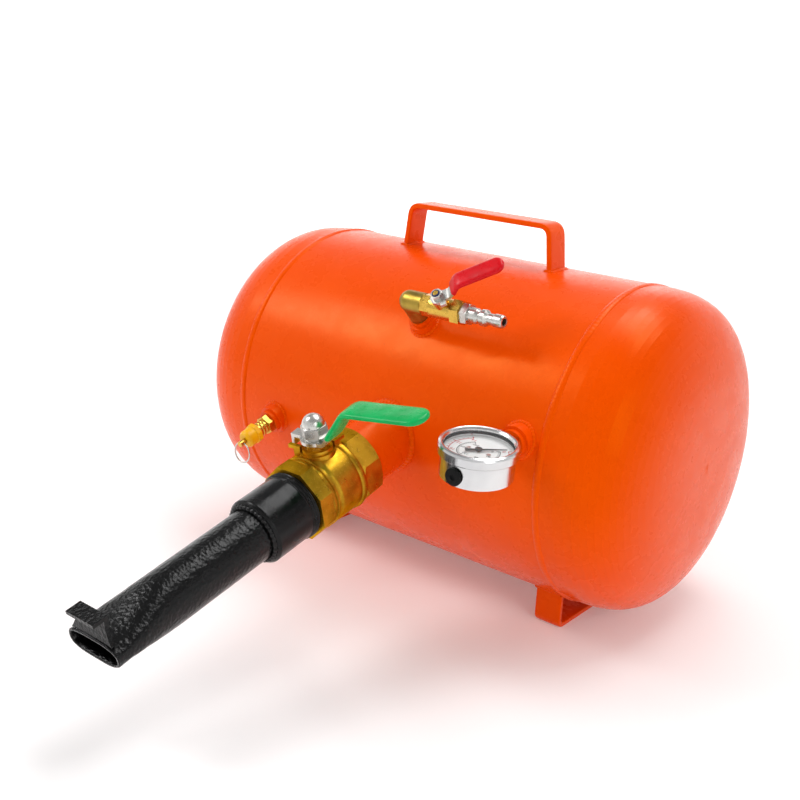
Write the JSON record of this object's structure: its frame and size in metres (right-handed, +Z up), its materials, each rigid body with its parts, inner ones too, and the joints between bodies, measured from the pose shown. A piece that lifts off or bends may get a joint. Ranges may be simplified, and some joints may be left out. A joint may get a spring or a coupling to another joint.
{
  "type": "portable air tank",
  "caption": "Portable cylindrical air tank with a carry handle, feet, a quick-opening ball valve with a flattened barrel, fill valve, relief valve and gauge.",
  "frame": {"origin": "centre of the bounding box's base, on the floor under the feet", "axes": "+X along the tank, -Y towards the barrel's mouth, +Z up"},
  "size_m": [0.425, 0.5216, 0.2935],
  "materials": {
    "orange_enamel": "gloss",
    "brass": "cast and machined",
    "black_powder_coat": "satin, textured",
    "white_seal": "waxy",
    "chromed_ball": "polished",
    "zinc_plate": "bright zinc",
    "green_vinyl": "gloss dip",
    "red_vinyl": "gloss dip",
    "yellow_plastic": "gloss",
    "stainless": "polished",
    "clear_lens": "clear",
    "black_rubber": "matt",
    "white_dial": "printed",
    "black_pointer": "matt"
  },
  "bodies": {
    "tank": {"tank_shell": "orange_enamel", "left_head": "orange_enamel", "right_head": "orange_enamel", "girth_welds": "orange_enamel", "shell_seam_weld": "orange_enamel", "carry_handle": "orange_enamel", "left_foot": "orange_enamel", "right_foot": "orange_enamel", "bracket_welds": "orange_enamel", "outlet_stub": "orange_enamel", "outlet_weld": "orange_enamel", "inlet_boss": "orange_enamel", "relief_boss": "orange_enamel", "gauge_boss": "orange_enamel", "boss_welds": "orange_enamel", "valve_end_cap": "brass", "valve_body": "brass", "ball_seats": "white_seal", "stem_packing": "white_seal", "packing_gland": "brass", "barrel_nipple": "black_powder_coat", "barrel_weld": "black_powder_coat", "barrel_tube": "black_powder_coat", "rim_hook": "black_powder_coat", "inlet_elbow": "brass", "inlet_valve_body": "brass", "inlet_seats": "white_seal", "inlet_gland": "brass", "hose_plug": "zinc_plate", "relief_body": "brass", "relief_cap": "yellow_plastic", "gauge_socket": "brass", "gauge_case": "stainless", "gauge_bezel": "stainless", "gauge_lens": "clear_lens", "gauge_gasket": "black_rubber", "gauge_plug": "black_rubber", "gauge_dial": "white_dial", "gauge_screws": "zinc_plate", "bourdon_tube": "brass", "movement_plates": "brass", "gauge_link": "brass"},
    "main_lever": {"valve_ball": "chromed_ball", "valve_stem": "brass", "lever_plate": "zinc_plate", "lever_grip": "green_vinyl", "lever_nut": "zinc_plate", "lever_washer": "zinc_plate"},
    "fill_lever": {"inlet_ball": "chromed_ball", "inlet_stem": "brass", "inlet_lever": "zinc_plate", "inlet_grip": "red_vinyl", "inlet_nut": "zinc_plate"},
    "relief_plunger": {"relief_stem": "brass", "relief_spring": "zinc_plate"},
    "pull_ring": {"relief_ring": "zinc_plate"},
    "pointer": {"gauge_pointer": "black_pointer", "pointer_arbor": "brass"},
    "sector": {"sector_gear": "brass"}
  },
  "joints": [
    {"name": "main_valve_turn", "type": "hinge", "parent": "tank", "child": "main_lever", "pos_m": [0.011, -0.054, 0.11838], "axis": [0, 0.2588, -0.9659], "range_deg": [0, 95]},
    {"name": "fill_valve_turn", "type": "hinge", "parent": "tank", "child": "fill_lever", "pos_m": [0.048, 0.02755, 0.23917], "axis": [0, -0.6947, 0.7193], "range_deg": [-38, 52]},
    {"name": "relief_pull", "type": "slide", "parent": "tank", "child": "relief_plunger", "axis": [0, -0.9397, -0.342], "range_m": [0, 0.0025], "stiffness_N_per_m": 2500, "springref_m": -0.004},
    {"name": "ring_swing", "type": "hinge", "parent": "relief_plunger", "child": "pull_ring", "pos_m": [-0.106, -0.02236, 0.1093], "axis": [1, 0, 0], "range_deg": [-100, 30]},
    {"name": "pointer_turn", "type": "hinge", "parent": "tank", "child": "pointer", "pos_m": [0.125, -0.03112, 0.15982], "axis": [-0.0698, 0.0696, -0.9951], "range_deg": [0, 270], "stiffness_Nm_per_rad": 0.0002, "springref_deg": -11.46},
    {"name": "sector_turn", "type": "hinge", "parent": "tank", "child": "sector", "pos_m": [0.125, -0.01765, 0.16076], "axis": [-0.0698, 0.0696, -0.9951], "range_deg": [-35, 1]}
  ],
  "couplings": [
    {"joint": "sector_turn", "follows": "pointer_turn", "ratio": -0.125}
  ]
}
